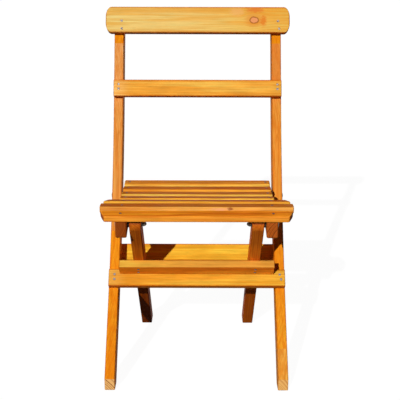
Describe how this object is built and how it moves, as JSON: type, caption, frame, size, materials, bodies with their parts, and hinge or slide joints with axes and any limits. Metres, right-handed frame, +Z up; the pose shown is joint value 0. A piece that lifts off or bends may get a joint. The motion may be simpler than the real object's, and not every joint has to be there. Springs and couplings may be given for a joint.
{
  "type": "folding patio chair",
  "caption": "Folding wooden patio chair with bent side stiles, a slatted dished seat, two back rails and crossed legs that fold flat between the stiles.",
  "frame": {"origin": "on the floor, under the middle of the chair's outline as it stands open", "axes": "+Z up; -Y towards the sitter's front; +X to the right as seen from the front"},
  "size_m": [0.4724, 0.4958, 0.8558],
  "materials": {
    "stile_wood": "orange-brown stain, satin",
    "rail_wood": "golden stain, satin",
    "slat_wood": "orange-brown stain, worn",
    "bearer_wood": "orange-brown stain, satin",
    "leg_wood": "orange-brown stain, satin",
    "dark_steel": "dark zinc",
    "black_nylon": "matt black"
  },
  "bodies": {
    "back_frame": {"stile_left": "stile_wood", "stile_right": "stile_wood", "top_rail": "rail_wood", "back_rail": "rail_wood", "front_crossbar": "rail_wood", "rear_crossbar": "rail_wood", "seat_bolt_left": "dark_steel", "seat_bolt_right": "dark_steel", "seat_spacer_left": "black_nylon", "seat_spacer_right": "black_nylon", "seat_washer_left": "dark_steel", "seat_washer_right": "dark_steel", "seat_nut_left": "dark_steel", "seat_nut_right": "dark_steel"},
    "seat": {"seat_bearer_left": "bearer_wood", "seat_bearer_right": "bearer_wood", "seat_slat_1": "slat_wood", "seat_slat_2": "slat_wood", "seat_slat_3": "slat_wood", "seat_slat_4": "slat_wood", "seat_slat_5": "slat_wood", "seat_slat_6": "slat_wood", "seat_slat_7": "slat_wood", "leg_bolt_left": "dark_steel", "leg_bolt_right": "dark_steel", "leg_spacer_left": "black_nylon", "leg_spacer_right": "black_nylon", "leg_washer_left": "dark_steel", "leg_washer_right": "dark_steel", "leg_cap_nut_left": "dark_steel", "leg_cap_nut_right": "dark_steel"},
    "leg_frame": {"leg_left": "leg_wood", "leg_right": "leg_wood", "stop_bar": "rail_wood"}
  },
  "joints": [
    {"name": "seat_fold", "type": "hinge", "parent": "back_frame", "child": "seat", "pos_m": [0, 0.047, 0.39365], "axis": [-1, 0, 0], "range_deg": [0, 94]},
    {"name": "leg_fold", "type": "hinge", "parent": "seat", "child": "leg_frame", "pos_m": [0, -0.1939, 0.39205], "axis": [1, 0, 0], "range_deg": [0, 34.8]}
  ],
  "couplings": [
    {"joint": "leg_fold", "follows": "seat_fold", "ratio": 0.37}
  ]
}
